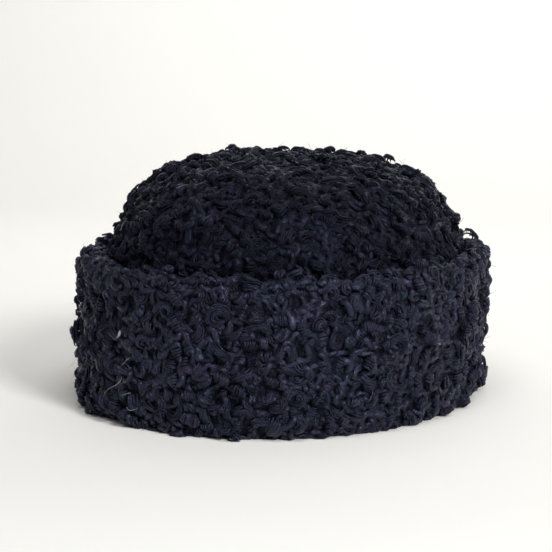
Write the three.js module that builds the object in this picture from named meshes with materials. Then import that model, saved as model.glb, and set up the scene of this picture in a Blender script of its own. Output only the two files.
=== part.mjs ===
import * as THREE from "three";

// A karakul hat: a domed crown of curled lambskin, with a cuff of the same skin turned up all round it.
// Millimetres, +Z up. The hat stands on its hem at z = 0, its front towards -Y and its middle on the Z axis.

// The head opening, an oval
const headBreadth = 161;
const headLength = 203;

// The crown, a soft shell of skin, wadding and pile
const crownWall = 9;
const crownHeight = 124;

// The cuff, a padded band whose lip runs under the crown's rim. Its hem and its top are rounded.
const cuffWall = 15.6;
const cuffHeight = 77.5;
const cuffTopRound = 12.5;
const cuffInnerRound = 6.5;
const hemRound = 10;
const hemInset = 4;
const lipThickness = 2.5;

// Gaps between the two pieces
const seatGap = 0.3;
const sideGap = 0.6;

// The hat is soft, and leans to +X by this much from its hem to its cuff's top
const hatLean = 3.6;

// The curled pile: how deep it sinks between curls, and how far apart the clumps of curls are
const creaseDepth = 2.6;
const curlPitch = 12.5;

// The usual length of a facet's edge, in the pile and on plain skin
const pileFacet = 5.5;
const skinFacet = 11;

// Sections of the crown above the cuff. height is a share of the rise from the cuff's top to the crown's top,
// and left (-X) and right (+X) are shares of the half size there. Front and back are midway between the two.
const crownSections = [
  { height: 0.0, left: 1.0, right: 1.0 },
  { height: 0.2, left: 0.972, right: 0.978 },
  { height: 0.37, left: 0.935, right: 0.94 },
  { height: 0.52, left: 0.885, right: 0.892 },
  { height: 0.65, left: 0.822, right: 0.835 },
  { height: 0.755, left: 0.752, right: 0.762 },
  { height: 0.84, left: 0.69, right: 0.668 },
  { height: 0.905, left: 0.615, right: 0.52 },
  { height: 0.955, left: 0.5, right: 0.335 },
  { height: 0.988, left: 0.31, right: 0.16 },
  { height: 1.0, left: 0.0, right: 0.0 },
];

const headHalf = { x: headBreadth / 2, y: headLength / 2 };
const crownHalf = { x: headHalf.x + crownWall, y: headHalf.y + crownWall };
const cuffHalf = { x: crownHalf.x + sideGap + cuffWall, y: crownHalf.y + sideGap + cuffWall };
const rimHeight = lipThickness + seatGap;
const innerRound = Math.min(cuffInnerRound, cuffWall / 2);
const cuffPeakInset = cuffWall - innerRound;
const innerWallTop = cuffHeight - innerRound;
const outerWallTop = cuffHeight - cuffTopRound;

// How far the hat has leaned at a height.
function leanAt(z) {
  return hatLean * Math.min(z / cuffHeight, 1);
}

// A point on an upright oval wall of the given half sizes.
function wallPoint(half, angle, z) {
  return new THREE.Vector3(leanAt(z) + half.x * Math.cos(angle), half.y * Math.sin(angle), z);
}

// A point of the cuff, so far in from its outer wall.
function cuffPoint(inset, angle, z) {
  return wallPoint({ x: cuffHalf.x - inset, y: cuffHalf.y - inset }, angle, z);
}

// The length round an oval, closely enough to choose a number of facets.
function girth(half) {
  return Math.PI * (half.x + half.y);
}

// A closed loop of points round the hat, in order of angle. Every other loop starts half a step on.
function loop(half, facet, row, pointAt) {
  const count = Math.max(6, Math.round(girth(half) / facet));
  const start = row % 2 ? 0.5 : 0;
  return Array.from({ length: count }, (_, i) => {
    const turn = (i + start) / count;
    return { turn, point: pointAt(turn * 2 * Math.PI) };
  });
}

// A number from 0 to 1 that looks random, the same each time for the same three whole numbers.
function scatter(i, j, k) {
  const value = Math.sin(i * 127.1 + j * 311.7 + k * 74.7) * 43758.5453;
  return value - Math.floor(value);
}

// How deep the pile is sunk at a point: 0 in the middle of a clump of curls, creaseDepth between clumps.
function creaseAt(point) {
  const cell = point.clone().divideScalar(curlPitch);
  const home = cell.clone().floor();
  let nearest = Infinity;
  for (let i = home.x - 1; i <= home.x + 1; i++)
    for (let j = home.y - 1; j <= home.y + 1; j++)
      for (let k = home.z - 1; k <= home.z + 1; k++) {
        const x = i + scatter(i, j, k);
        const y = j + scatter(j, k, i);
        const z = k + scatter(k, i, j);
        nearest = Math.min(nearest, Math.hypot(cell.x - x, cell.y - y, cell.z - z));
      }
  return creaseDepth * Math.min(nearest / 0.75, 1) ** 2;
}

// The point sunk into the pile, towards a point inside the wall.
function curled(point, inside) {
  const inwards = inside.clone().sub(point).normalize();
  return point.clone().addScaledVector(inwards, creaseAt(point));
}

// Triangles between two loops that may have different numbers of points.
function bridge(lower, upper, addFace) {
  let i = 0;
  let j = 0;
  const turnOf = (ring, n) => ring[n % ring.length].turn + Math.floor(n / ring.length);
  while (i < lower.length || j < upper.length) {
    const lowerNext = i < lower.length && (j >= upper.length || turnOf(lower, i + 1) <= turnOf(upper, j + 1));
    const a = lower[i % lower.length];
    const b = upper[j % upper.length];
    if (lowerNext) {
      addFace(a, lower[(i + 1) % lower.length], b);
      i++;
    } else {
      addFace(a, upper[(j + 1) % upper.length], b);
      j++;
    }
  }
}

// One closed surface through loops in order. A loop of one point closes an end, and without such ends
// the last loop is joined to the first.
function skin(loops) {
  const positions = [];
  loops.flat().forEach((vertex, index) => {
    vertex.index = index;
    positions.push(vertex.point.x, vertex.point.y, vertex.point.z);
  });
  const faces = [];
  const addFace = (...corners) => {
    const [a, b, c] = corners.map((corner) => corner.index);
    if (a !== b && b !== c && c !== a) faces.push(a, b, c);
  };
  const isRing = loops[0].length > 1;
  const pairs = isRing ? loops.length : loops.length - 1;
  for (let n = 0; n < pairs; n++) bridge(loops[n], loops[(n + 1) % loops.length], addFace);
  const geometry = new THREE.BufferGeometry();
  geometry.setAttribute("position", new THREE.Float32BufferAttribute(positions, 3));
  geometry.setIndex(faces);
  geometry.computeVertexNormals();
  return geometry;
}

// Heights from low to high in equal steps no longer than a facet.
function steps(low, high, facet) {
  const count = Math.max(1, Math.round((high - low) / facet));
  return Array.from({ length: count + 1 }, (_, i) => low + ((high - low) * i) / count);
}

// The crown's sections as loops from the cuff's top to the pole, for a dome of these half sizes and this top.
// They are spaced along a curve through the left and right reaches and the height. Both reaches are divided
// by the root of two there, so that the curve is as long as the section.
function domeLoops(half, top, facet, finish) {
  const breadth = half.x * Math.SQRT1_2;
  const rows = crownSections.map(
    ({ height, left, right }) =>
      new THREE.Vector3(left * breadth, right * breadth, cuffHeight + height * (top - cuffHeight)),
  );
  const curve = new THREE.CatmullRomCurve3(rows, false, "centripetal");
  const sections = curve.getSpacedPoints(Math.round(curve.getLength() / facet)).slice(1, -1);
  const loops = sections.map(({ x, y, z }, row) => {
    const left = x / breadth;
    const right = y / breadth;
    const middle = (left + right) / 2;
    return loop({ x: middle * half.x, y: middle * half.y }, facet, row, (angle) => {
      const across = Math.cos(angle) ** 2;
      const side = Math.cos(angle) < 0 ? left : right;
      const share = across * side + (1 - across) * middle;
      return finish(wallPoint({ x: share * half.x, y: share * half.y }, angle, z));
    });
  });
  return [...loops, [{ turn: 0, point: new THREE.Vector3(leanAt(top), 0, top) }]];
}

// The hollow crown, from its top inside, down to its rim and up to its top outside.
function crownGeometry() {
  const plain = (point) => point;
  const domeMiddle = new THREE.Vector3(leanAt(cuffHeight), 0, cuffHeight);
  const pile = (point) => curled(point, domeMiddle);
  const side = (half, low, high, facet, finish) =>
    steps(low, high, facet).map((z, row) => loop(half, facet, row, (angle) => finish(wallPoint(half, angle, z))));
  const inside = [
    ...side(headHalf, rimHeight, cuffHeight, skinFacet, plain),
    ...domeLoops(headHalf, crownHeight - crownWall, skinFacet, plain),
  ];
  const outside = [
    ...side(crownHalf, rimHeight, innerWallTop, skinFacet, plain),
    ...side(crownHalf, innerWallTop, cuffHeight, pileFacet, pile).slice(1),
    ...domeLoops(crownHalf, crownHeight, pileFacet, pile),
  ];
  return skin([...inside.reverse(), ...outside]);
}

// The cuff's outer face in section, from the edge of the hem that rests to the inner edge of the rounded top.
function cuffFace() {
  const face = new THREE.Path();
  face.absellipse(hemInset, hemRound, hemInset, hemRound, -Math.PI / 2, -Math.PI, true);
  face.lineTo(0, outerWallTop);
  face.absellipse(cuffPeakInset, outerWallTop, cuffPeakInset, cuffTopRound, Math.PI, Math.PI / 2, true);
  face.absarc(cuffPeakInset, innerWallTop, innerRound, Math.PI / 2, 0, true);
  return face;
}

// The cuff: its resting hem, its curled outer face, and the plain wall and lip that hold the crown.
function cuffGeometry() {
  const face = cuffFace();
  const points = face.getSpacedPoints(Math.round(face.getLength() / pileFacet));
  const last = points.length - 1;
  const pile = points.map(({ x: inset, y: z }, row) =>
    loop(cuffHalf, pileFacet, row, (angle) => {
      const point = cuffPoint(inset, angle, z);
      const core = cuffPoint(cuffPeakInset, angle, THREE.MathUtils.clamp(z, hemRound, outerWallTop));
      return row === 0 || row === last ? point : curled(point, core);
    }),
  );
  const seat = { x: crownHalf.x + sideGap, y: crownHalf.y + sideGap };
  const wall = steps(lipThickness, innerWallTop, skinFacet)
    .slice(0, -1)
    .map((z, row) => loop(seat, skinFacet, row, (angle) => wallPoint(seat, angle, z)));
  const lip = [lipThickness, 0].map((z, row) =>
    loop(headHalf, skinFacet, row, (angle) => wallPoint(headHalf, angle, z)),
  );
  return skin([...pile, ...wall.reverse(), ...lip]);
}

// One piece of the hat, in curled pelt of this colour.
function piece(name, geometry, color) {
  const mesh = new THREE.Mesh(geometry, new THREE.MeshStandardMaterial({ color, roughness: 0.6, metalness: 0 }));
  mesh.name = name;
  return mesh;
}

const hat = new THREE.Group();
hat.add(piece("crown", crownGeometry(), 0x1c1d24), piece("cuff", cuffGeometry(), 0x20222b));

// The lean and the curls shift the outline a little, so the whole hat is set back over the origin.
const middle = new THREE.Box3().setFromObject(hat).getCenter(new THREE.Vector3());
hat.position.set(-middle.x, -middle.y, 0);

export default hat;
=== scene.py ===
"""A black karakul hat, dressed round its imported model: curled lambskin on a crown and a turned-up cuff."""

import logging
import math
from dataclasses import dataclass, field
from enum import Enum
from typing import Callable

import bpy
import numpy as np
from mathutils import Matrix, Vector, noise
from mathutils.bvhtree import BVHTree


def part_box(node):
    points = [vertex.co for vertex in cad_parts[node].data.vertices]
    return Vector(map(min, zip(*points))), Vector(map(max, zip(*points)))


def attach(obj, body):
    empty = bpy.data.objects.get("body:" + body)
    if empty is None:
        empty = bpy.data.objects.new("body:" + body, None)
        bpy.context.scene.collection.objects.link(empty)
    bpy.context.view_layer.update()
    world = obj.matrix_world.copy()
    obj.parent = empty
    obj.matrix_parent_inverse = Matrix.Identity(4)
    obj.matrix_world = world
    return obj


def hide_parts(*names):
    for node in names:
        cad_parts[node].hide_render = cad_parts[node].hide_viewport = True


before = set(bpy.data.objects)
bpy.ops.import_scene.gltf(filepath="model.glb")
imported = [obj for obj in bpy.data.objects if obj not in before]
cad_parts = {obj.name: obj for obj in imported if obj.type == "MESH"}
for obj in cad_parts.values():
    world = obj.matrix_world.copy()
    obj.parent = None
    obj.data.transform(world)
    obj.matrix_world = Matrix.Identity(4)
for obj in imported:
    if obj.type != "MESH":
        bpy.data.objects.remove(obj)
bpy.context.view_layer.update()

log = logging.getLogger("karakul_hat")
MM = 0.001
CIRCLE = 2 * math.pi
PHOTO_PIXELS = 552
SEED = 7

Array = np.ndarray
Colour = tuple[float, float, float]
Range = tuple[float, float]
Coordinates = tuple[Array, Array, Array]
Socket = bpy.types.NodeSocket


# Small tools


def unit(vectors: Array) -> Array:
    """Give each row of vectors the length one."""
    return vectors / np.maximum(np.linalg.norm(vectors, axis=-1, keepdims=True), 1e-12)


def along(vectors: Array, others: Array) -> Array:
    """Return the dot product of each row of vectors with the same row of others."""
    return np.einsum("...i,...i->...", vectors, others)


def ramp(values: Array, low: float, high: float) -> Array:
    """Turn values into a smooth step from 0 at low to 1 at high, which may be less than low."""
    t = np.clip((values - low) / (high - low), 0.0, 1.0)
    return t * t * (3.0 - 2.0 * t)


def placed(name: str, data: bpy.types.ID) -> bpy.types.Object:
    """Put a new object into the scene, at the origin.

    Args:
        name: The object's name.
        data: Its mesh, light or camera.

    Returns:
        The object.
    """
    item = bpy.data.objects.new(name, data)
    bpy.context.scene.collection.objects.link(item)
    return item


# The skin that the pile grows on


@dataclass
class Skin:
    """A CAD node's surface as arrays, to grow a pile on.

    Attributes:
        points: One row for each vertex, in metres.
        faces: One row of three vertex numbers for each triangle.
        normals: One row for each vertex, the average of its faces' normals.
        tree: Finds the nearest face.
    """

    # Vertices whose places agree to so many decimals of a metre are joined
    DECIMALS = 6
    # Points tried for each square of the spacing's size, enough to leave no gaps
    TRIES = 9
    # Keeps a corner's weight finite where a place lies on it
    NEAREST_CORNER = 0.2 * MM
    # Gives locks a heading even where the skin is level
    NUDGE = (0.02, 0.0, 0.0)

    points: Array
    faces: Array
    normals: Array = field(init=False)
    tree: BVHTree = field(init=False, repr=False)

    def __post_init__(self) -> None:
        """Work out the normals and the search tree."""
        sums = np.zeros_like(self.points)
        for corner in range(3):
            np.add.at(sums, self.faces[:, corner], self.crosses())
        self.normals = unit(sums)
        self.tree = BVHTree.FromPolygons(self.points.tolist(), self.faces.tolist())

    @classmethod
    def of_node(cls, name: str) -> "Skin":
        """Read a CAD node, with the vertices that share a place joined.

        Args:
            name: The CAD node's name.

        Returns:
            The node's whole surface.
        """
        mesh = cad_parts[name].data
        mesh.calc_loop_triangles()
        raw = np.empty(len(mesh.vertices) * 3)
        mesh.vertices.foreach_get("co", raw)
        corners = np.empty(len(mesh.loop_triangles) * 3, dtype=np.int32)
        mesh.loop_triangles.foreach_get("vertices", corners)
        places = np.round(raw.reshape(-1, 3), cls.DECIMALS)
        points, joined = np.unique(places, axis=0, return_inverse=True)
        return cls(points, joined.ravel()[corners].reshape(-1, 3))

    def part(self, wanted: Array) -> "Skin":
        """Return the part of the skin that has the wanted faces, given as one truth value for each."""
        return Skin(self.points, self.faces[wanted])

    def divided(self) -> "Skin":
        """Cut each face into four.

        Returns:
            The same surface with the four parts of each face together, in the order of the faces.
        """
        edges = np.sort(self.faces[:, [[0, 1], [1, 2], [2, 0]]], axis=2)
        unique, number = np.unique(edges.reshape(-1, 2), axis=0, return_inverse=True)
        points = np.concatenate([self.points, self.points[unique].mean(axis=1)])
        a, b, c = self.faces.T
        ab, bc, ca = number.reshape(-1, 3).T + len(self.points)
        quarters = [[a, ab, ca], [ab, b, bc], [ca, bc, c], [ab, bc, ca]]
        return Skin(points, np.array(quarters).transpose(2, 0, 1).reshape(-1, 3))

    def turn_level(self, height: float) -> None:
        """Turn the normals level near the ground: fully at the ground, and not at all at this height."""
        self.normals[:, 2] *= ramp(self.points[:, 2], 0.0, height)
        self.normals = unit(self.normals)

    def crosses(self) -> Array:
        """Return a vector along each face's normal, twice as long as the face's area."""
        corners = self.points[self.faces]
        return np.cross(corners[:, 1] - corners[:, 0], corners[:, 2] - corners[:, 0])

    def centres(self) -> tuple[Array, Array]:
        """Return the middle and the unit normal of each face."""
        return self.points[self.faces].mean(axis=1), unit(self.crosses())

    def scatter(self, spacing: float, rng: np.random.Generator) -> tuple[Array, Array]:
        """Choose points over the skin that keep their distance from each other.

        Args:
            spacing: The least distance between two points, in metres.
            rng: The source of random numbers.

        Returns:
            The points and the skin's unit normals there.
        """
        areas = np.linalg.norm(self.crosses(), axis=1) / 2
        tries = int(areas.sum() / spacing**2 * self.TRIES)
        chosen = rng.choice(len(areas), size=tries, p=areas / areas.sum())
        shares = rng.random((tries, 2))
        folded = shares.sum(axis=1) > 1
        shares[folded] = 1 - shares[folded]
        weights = np.column_stack([1 - shares.sum(axis=1), shares])
        points = np.einsum("ni,nij->nj", weights, self.points[self.faces[chosen]])
        normals = unit(np.einsum("ni,nij->nj", weights, self.normals[self.faces[chosen]]))
        kept: list[int] = []
        cells: dict[tuple[int, int, int], list[int]] = {}
        near = [(i, j, k) for i in (-1, 0, 1) for j in (-1, 0, 1) for k in (-1, 0, 1)]
        homes = np.floor(points / spacing).astype(int)
        for index, (x, y, z) in enumerate(homes.tolist()):
            rivals = [n for i, j, k in near for n in cells.get((x + i, y + j, z + k), ())]
            if rivals:
                gaps = points[rivals] - points[index]
                if (along(gaps, gaps) < spacing**2).any():
                    continue
            kept.append(index)
            cells.setdefault((x, y, z), []).append(index)
        return points[kept], normals[kept]

    def nearest(self, places: Array) -> tuple[Array, Array]:
        """Find the point of the skin nearest to each place.

        Args:
            places: One row for each place.

        Returns:
            The nearest points, and the smooth unit normals there.
        """
        found = [self.tree.find_nearest(place) for place in places.reshape(-1, 3).tolist()]
        points = np.array([hit[0] for hit in found])
        corners = self.faces[[hit[2] for hit in found]]
        gaps = np.linalg.norm(self.points[corners] - points[:, None], axis=2)
        weights = 1.0 / (gaps + self.NEAREST_CORNER)
        normals = unit(np.einsum("ni,nij->nj", weights, self.normals[corners]))
        return points.reshape(places.shape), normals.reshape(places.shape)

    def lay(self, roots: Array, normals: Array, headings: Array, paths: Array) -> tuple[Array, Array]:
        """Lay flat paths on the skin, each lock at its root and turned its own way.

        Args:
            roots: The middle of each lock.
            normals: The skin's unit normal there.
            headings: The angle of each lock from the level, in radians.
            paths: The strands' middle lines on a flat skin, as locks by strands by steps by 3 numbers.

        Returns:
            The middle lines on this skin, and its unit normal at each of their points.
        """
        level = np.cross([0.0, 0.0, 1.0], normals) + self.NUDGE
        across = unit(level - along(level, normals)[:, None] * normals)
        up = np.cross(normals, across)
        first = np.cos(headings)[:, None] * across + np.sin(headings)[:, None] * up
        second = np.cross(normals, first)
        spread = paths[..., :1] * first[:, None, None] + paths[..., 1:2] * second[:, None, None]
        points, outward = self.nearest(roots[:, None, None] + spread)
        return points + paths[..., 2:] * outward, outward


# Shader nodes, and the groups that materials share


class Nodes:
    """A small helper that adds shader nodes to a tree and links them."""

    def __init__(self, tree: bpy.types.NodeTree) -> None:
        """Empty the tree and keep it."""
        self.tree = tree
        tree.nodes.clear()

    def add(self, kind: str, **settings: object) -> bpy.types.Node:
        """Add a node and set it up.

        Args:
            kind: The node's type, such as ShaderNodeMath.
            **settings: As for tune.

        Returns:
            The new node.
        """
        node = self.tree.nodes.new(kind)
        self.tune(node, **settings)
        return node

    def tune(self, node: bpy.types.Node, **settings: object) -> None:
        """Set a node up.

        Args:
            node: The node.
            **settings: Properties of the node by name, and values of its inputs by name, with underscores
                for spaces.
        """
        for name, value in settings.items():
            if hasattr(node, name):
                setattr(node, name, value)
            else:
                node.inputs[name.replace("_", " ")].default_value = value

    def link(self, source: Socket, target: Socket) -> None:
        """Link an output to an input."""
        self.tree.links.new(source, target)

    def feed(self, target: Socket, value: float | Colour | Socket) -> None:
        """Give an input its value.

        Args:
            target: The input.
            value: A number, a linear colour or an output.
        """
        if isinstance(value, bpy.types.NodeSocket):
            self.link(value, target)
        else:
            target.default_value = (*value, 1.0) if isinstance(value, tuple) else value

    def maths(self, operation: str, first: Socket, second: float | Socket) -> Socket:
        """Add a Math node.

        Args:
            operation: The operation's name, such as MULTIPLY.
            first: Its first term.
            second: Its second term.

        Returns:
            The node's output.
        """
        node = self.add("ShaderNodeMath", operation=operation)
        self.feed(node.inputs[0], first)
        self.feed(node.inputs[1], second)
        return node.outputs[0]

    def blend(self, share: Socket, first: Colour, second: Colour | Socket) -> Socket:
        """Mix two linear colours.

        Args:
            share: How much of the second there is, from 0 to 1.
            first: The first colour.
            second: The second colour.

        Returns:
            The mixed colour.
        """
        node = self.add("ShaderNodeMix", data_type="RGBA")
        # A Mix node's inputs 6 and 7 are its two colours, and its output 2 is the mixed one
        for number, value in ((0, share), (6, first), (7, second)):
            self.feed(node.inputs[number], value)
        return node.outputs[2]

    def spread(self, source: Socket, low: float, high: float, top: float = 1.0) -> Socket:
        """Stretch the values between two numbers, and cut off the rest.

        Args:
            source: The values.
            low: What becomes 0.
            high: What becomes top.
            top: The highest value.

        Returns:
            The stretched values.
        """
        node = self.add("ShaderNodeMapRange", From_Min=low, From_Max=high, To_Max=top)
        self.link(source, node.inputs[0])
        return node.outputs[0]

    def bump(self, height: Socket, distance: float, shader: bpy.types.Node) -> None:
        """Raise a shader's surface.

        Args:
            height: The height, from 0 to 1.
            distance: How far 1 stands out, in metres.
            shader: The shader.
        """
        node = self.add("ShaderNodeBump", Distance=distance)
        self.link(height, node.inputs["Height"])
        self.link(node.outputs[0], shader.inputs["Normal"])


def new_group(
    name: str, inputs: dict[str, float], outputs: tuple[str, ...]
) -> tuple[Nodes, bpy.types.Node, bpy.types.Node]:
    """Start a shader node group of numbers.

    Args:
        name: The group's name.
        inputs: The default of each number that goes in, by name.
        outputs: The names of the numbers that come out.

    Returns:
        The helper that fills the group, and the group's input and output nodes.
    """
    group = bpy.data.node_groups.new(name, "ShaderNodeTree")
    nodes = Nodes(group)
    for label, value in inputs.items():
        socket = group.interface.new_socket(label, in_out="INPUT", socket_type="NodeSocketFloat")
        socket.default_value = value
    for label in outputs:
        group.interface.new_socket(label, in_out="OUTPUT", socket_type="NodeSocketFloat")
    return nodes, nodes.add("NodeGroupInput"), nodes.add("NodeGroupOutput")


def strand_group() -> bpy.types.NodeTree:
    """Build the group that draws a lock's fine hairs, from its map of lengths and turns.

    Returns:
        The group. Height rises on each hair, and Groove is 1 between them.
    """
    inputs = {"Hairs round": 13.0, "Waviness": 0.35}
    nodes, given, out = new_group("Hair strands", inputs, ("Height", "Groove"))
    lengths = nodes.add("ShaderNodeUVMap", uv_map=Strands.HAIR_MAP)
    split = nodes.add("ShaderNodeSeparateXYZ")
    nodes.link(lengths.outputs[0], split.inputs[0])
    joined = nodes.add("ShaderNodeCombineXYZ")
    for axis, count in enumerate(("Waviness", "Hairs round")):
        nodes.link(nodes.maths("MULTIPLY", split.outputs[axis], given.outputs[count]), joined.inputs[axis])
    hairs = nodes.add("ShaderNodeTexNoise", noise_dimensions="2D", Scale=1.0, Detail=2.0, Roughness=0.6)
    nodes.link(joined.outputs[0], hairs.inputs["Vector"])
    nodes.link(hairs.outputs[0], out.inputs["Height"])
    nodes.link(nodes.spread(hairs.outputs[0], 0.5, 0.36), out.inputs["Groove"])
    return nodes.tree


def dye_group() -> bpy.types.NodeTree:
    """Build the group that varies the black dye from lock to lock and from place to place.

    Returns:
        The group. Tone and Tint are about 0.5 all over, and go from 0 to 1.
    """
    nodes, given, out = new_group("Dyed wool", {"Patch size": 70.0, "Tint size": 110.0}, ("Tone", "Tint"))
    place = nodes.add("ShaderNodeTexCoord")
    patches = nodes.add("ShaderNodeTexNoise", Detail=3.0)
    tints = nodes.add("ShaderNodeTexNoise", Detail=1.0)
    for texture, size in ((patches, "Patch size"), (tints, "Tint size")):
        nodes.link(place.outputs["Object"], texture.inputs["Vector"])
        nodes.link(given.outputs[size], texture.inputs["Scale"])
    lock = nodes.add("ShaderNodeAttribute", attribute_name=Strands.TONE)
    patch = nodes.spread(patches.outputs[0], 0.35, 0.65, top=0.65)
    own = nodes.maths("MULTIPLY", lock.outputs["Fac"], 0.45)
    nodes.link(nodes.maths("ADD", patch, own), out.inputs["Tone"])
    nodes.link(nodes.spread(tints.outputs[0], 0.38, 0.62), out.inputs["Tint"])
    return nodes.tree


def nap_group() -> bpy.types.NodeTree:
    """Build the group that draws a fine nap, with short hairs that swirl on it.

    Returns:
        The group. Height goes from 0 in the hollows to 1 on the nap.
    """
    nodes, given, out = new_group("Fine nap", {"Grain": 900.0, "Whorls": 0.5}, ("Height",))
    place = nodes.add("ShaderNodeTexCoord")
    nap = nodes.add("ShaderNodeTexNoise", Detail=4.0, Roughness=0.7)
    swirls = nodes.add("ShaderNodeTexWave", Distortion=14.0, Detail=2.0, Detail_Scale=1.2)
    for texture, coarseness in ((nap, 1.0), (swirls, 4.0)):
        nodes.link(place.outputs["Object"], texture.inputs["Vector"])
        nodes.link(nodes.maths("DIVIDE", given.outputs["Grain"], coarseness), texture.inputs["Scale"])
    # A Mix node's inputs 2 and 3 are its two numbers
    height = nodes.add("ShaderNodeMix", data_type="FLOAT")
    nodes.link(given.outputs["Whorls"], height.inputs[0])
    nodes.link(nap.outputs[0], height.inputs[2])
    nodes.link(swirls.outputs["Fac"], height.inputs[3])
    nodes.link(height.outputs[0], out.inputs["Height"])
    return nodes.tree


# Finishes


@dataclass(frozen=True)
class Effects:
    """The shader groups that the hat's materials share, each built once.

    Attributes:
        strands: Draws the fine hairs on a lock.
        dye: Varies the dye.
        nap: Draws a fine nap.
    """

    strands: bpy.types.NodeTree = field(default_factory=strand_group)
    dye: bpy.types.NodeTree = field(default_factory=dye_group)
    nap: bpy.types.NodeTree = field(default_factory=nap_group)


@dataclass(frozen=True)
class Finish:
    """A finish, made as a material with one shader.

    Attributes:
        name: The material's name.
    """

    name: str

    def material(self, effects: Effects) -> bpy.types.Material:
        """Find the material, or build it the first time.

        Args:
            effects: The shader groups.

        Returns:
            The material.
        """
        material = bpy.data.materials.get(self.name)
        if material is None:
            material = bpy.data.materials.new(self.name)
            material.use_nodes = True
            nodes = Nodes(material.node_tree)
            out = nodes.add("ShaderNodeOutputMaterial")
            shader = nodes.add("ShaderNodeBsdfPrincipled")
            nodes.link(shader.outputs[0], out.inputs[0])
            self.dress(nodes, shader, effects)
        return material

    def dress(self, nodes: Nodes, shader: bpy.types.Node, effects: Effects) -> None:
        """Set the shader up. Each kind of finish does this its own way."""
        raise NotImplementedError


@dataclass(frozen=True)
class WoolFinish(Finish):
    """Glossy dyed wool, on locks that carry a strand map and a tone.

    Attributes:
        deep: The colour of the darkest locks, linear.
        violet: The colour of the palest locks where the dye is violet, linear.
        slate: Their colour where it is blue-grey.
        shine: Its specular level.
        gloss_tint: The colour of its gloss, linear.
        sheen: How much its stray fibres light up at grazing angles.
        sheen_tint: Their colour, linear.
        roughness: Of the hairs' tops.
        groove_roughness: Of the grooves between the hairs.
        groove_painted_shade: How much painted shade darkens the grooves between the hairs, as a share of the
            range from deep to pale.
        hairs_round: How many hairs lie side by side round a lock.
        relief: The height that the hairs' pattern ranges over, in metres. A hair takes about a quarter of it.
    """

    deep: Colour
    violet: Colour
    slate: Colour
    shine: float
    gloss_tint: Colour = (0.56, 0.60, 1.0)
    sheen: float = 0.05
    sheen_tint: Colour = (0.5, 0.5, 0.8)
    roughness: float = 0.38
    groove_roughness: float = 0.58
    groove_painted_shade: float = 0.3
    hairs_round: float = 13.0
    relief: float = 0.52 * MM

    def dress(self, nodes: Nodes, shader: bpy.types.Node, effects: Effects) -> None:
        """Set the shader up with fine hairs and varied dye.

        Args:
            nodes: The helper for the material's nodes.
            shader: The shader.
            effects: The shader groups.
        """
        nodes.tune(shader, Specular_IOR_Level=self.shine, Specular_Tint=(*self.gloss_tint, 1.0))
        nodes.tune(shader, Sheen_Weight=self.sheen, Sheen_Roughness=0.4, Sheen_Tint=(*self.sheen_tint, 1.0))
        hairs = nodes.add("ShaderNodeGroup", node_tree=effects.strands, Hairs_round=self.hairs_round)
        dye = nodes.add("ShaderNodeGroup", node_tree=effects.dye)
        groove = hairs.outputs["Groove"]
        pale = nodes.blend(dye.outputs["Tint"], self.violet, self.slate)
        # Painted shade: the grooves between the hairs are darkened in the base colour
        shade = nodes.maths("MULTIPLY", groove, self.groove_painted_shade)
        tone = nodes.maths("SUBTRACT", dye.outputs["Tone"], shade)
        nodes.link(nodes.blend(tone, self.deep, pale), shader.inputs["Base Color"])
        rough = nodes.add("ShaderNodeMapRange", To_Min=self.roughness, To_Max=self.groove_roughness)
        nodes.link(groove, rough.inputs[0])
        nodes.link(rough.outputs[0], shader.inputs["Roughness"])
        nodes.bump(hairs.outputs["Height"], self.relief, shader)


@dataclass(frozen=True)
class SkinFinish(Finish):
    """The short wool under the locks, or the skin's plain side, which is a fine-napped suede.

    Attributes:
        deep: Its colour in the hollows, which is painted shade, linear.
        pale: Its colour on the nap, linear.
        sheen: How much its nap lights up at grazing angles.
        whorls: How strongly short hairs swirl on it, from 0 for none.
        shine: Its specular level.
        gloss_tint: The colour of its gloss, linear.
        roughness: Of the nap.
        grain: How fine the nap is, in grains for each metre.
        relief: How far the nap stands out, in metres.
    """

    deep: Colour
    pale: Colour
    sheen: float
    whorls: float
    shine: float = 0.3
    gloss_tint: Colour = (0.56, 0.60, 1.0)
    roughness: float = 0.6
    grain: float = 900.0
    relief: float = 0.5 * MM

    def dress(self, nodes: Nodes, shader: bpy.types.Node, effects: Effects) -> None:
        """Set the shader up with a nap.

        Args:
            nodes: The helper for the material's nodes.
            shader: The shader.
            effects: The shader groups.
        """
        nodes.tune(shader, Specular_IOR_Level=self.shine, Specular_Tint=(*self.gloss_tint, 1.0))
        nodes.tune(shader, Roughness=self.roughness, Sheen_Weight=self.sheen)
        nap = nodes.add("ShaderNodeGroup", node_tree=effects.nap, Grain=self.grain, Whorls=self.whorls)
        height = nap.outputs["Height"]
        # Painted shade: the base colour darkens from the nap's tops into its hollows
        nodes.link(nodes.blend(height, self.deep, self.pale), shader.inputs["Base Color"])
        nodes.bump(height, self.relief, shader)


@dataclass(frozen=True)
class StudioFinish(Finish):
    """The pale matt floor and backdrop.

    Attributes:
        colour: Its colour, linear.
        clouding: The brightness of its darkest parts, as a share of the rest.
        cloud_scale: How fine its clouds are, in clouds for each metre.
        roughness: Of the paper.
    """

    name: str = "pale_paper"
    colour: Colour = (0.9, 0.895, 0.87)
    clouding: float = 0.97
    cloud_scale: float = 3.0
    roughness: float = 0.9

    def dress(self, nodes: Nodes, shader: bpy.types.Node, effects: Effects) -> None:
        """Set the shader up with faint clouds.

        Args:
            nodes: The helper for the material's nodes.
            shader: The shader.
            effects: The shader groups, which this finish has no use for.
        """
        nodes.tune(shader, Roughness=self.roughness)
        place = nodes.add("ShaderNodeTexCoord")
        clouds = nodes.add("ShaderNodeTexNoise", Scale=self.cloud_scale, Detail=3.0)
        nodes.link(place.outputs["Object"], clouds.inputs["Vector"])
        dark = tuple(part * self.clouding for part in self.colour)
        nodes.link(nodes.blend(clouds.outputs[0], self.colour, dark), shader.inputs["Base Color"])


# Painted shade: the crown's wool is a darker, less glossy copy of the cuff's, so that the crown comes out
# darker than the cuff
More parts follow.
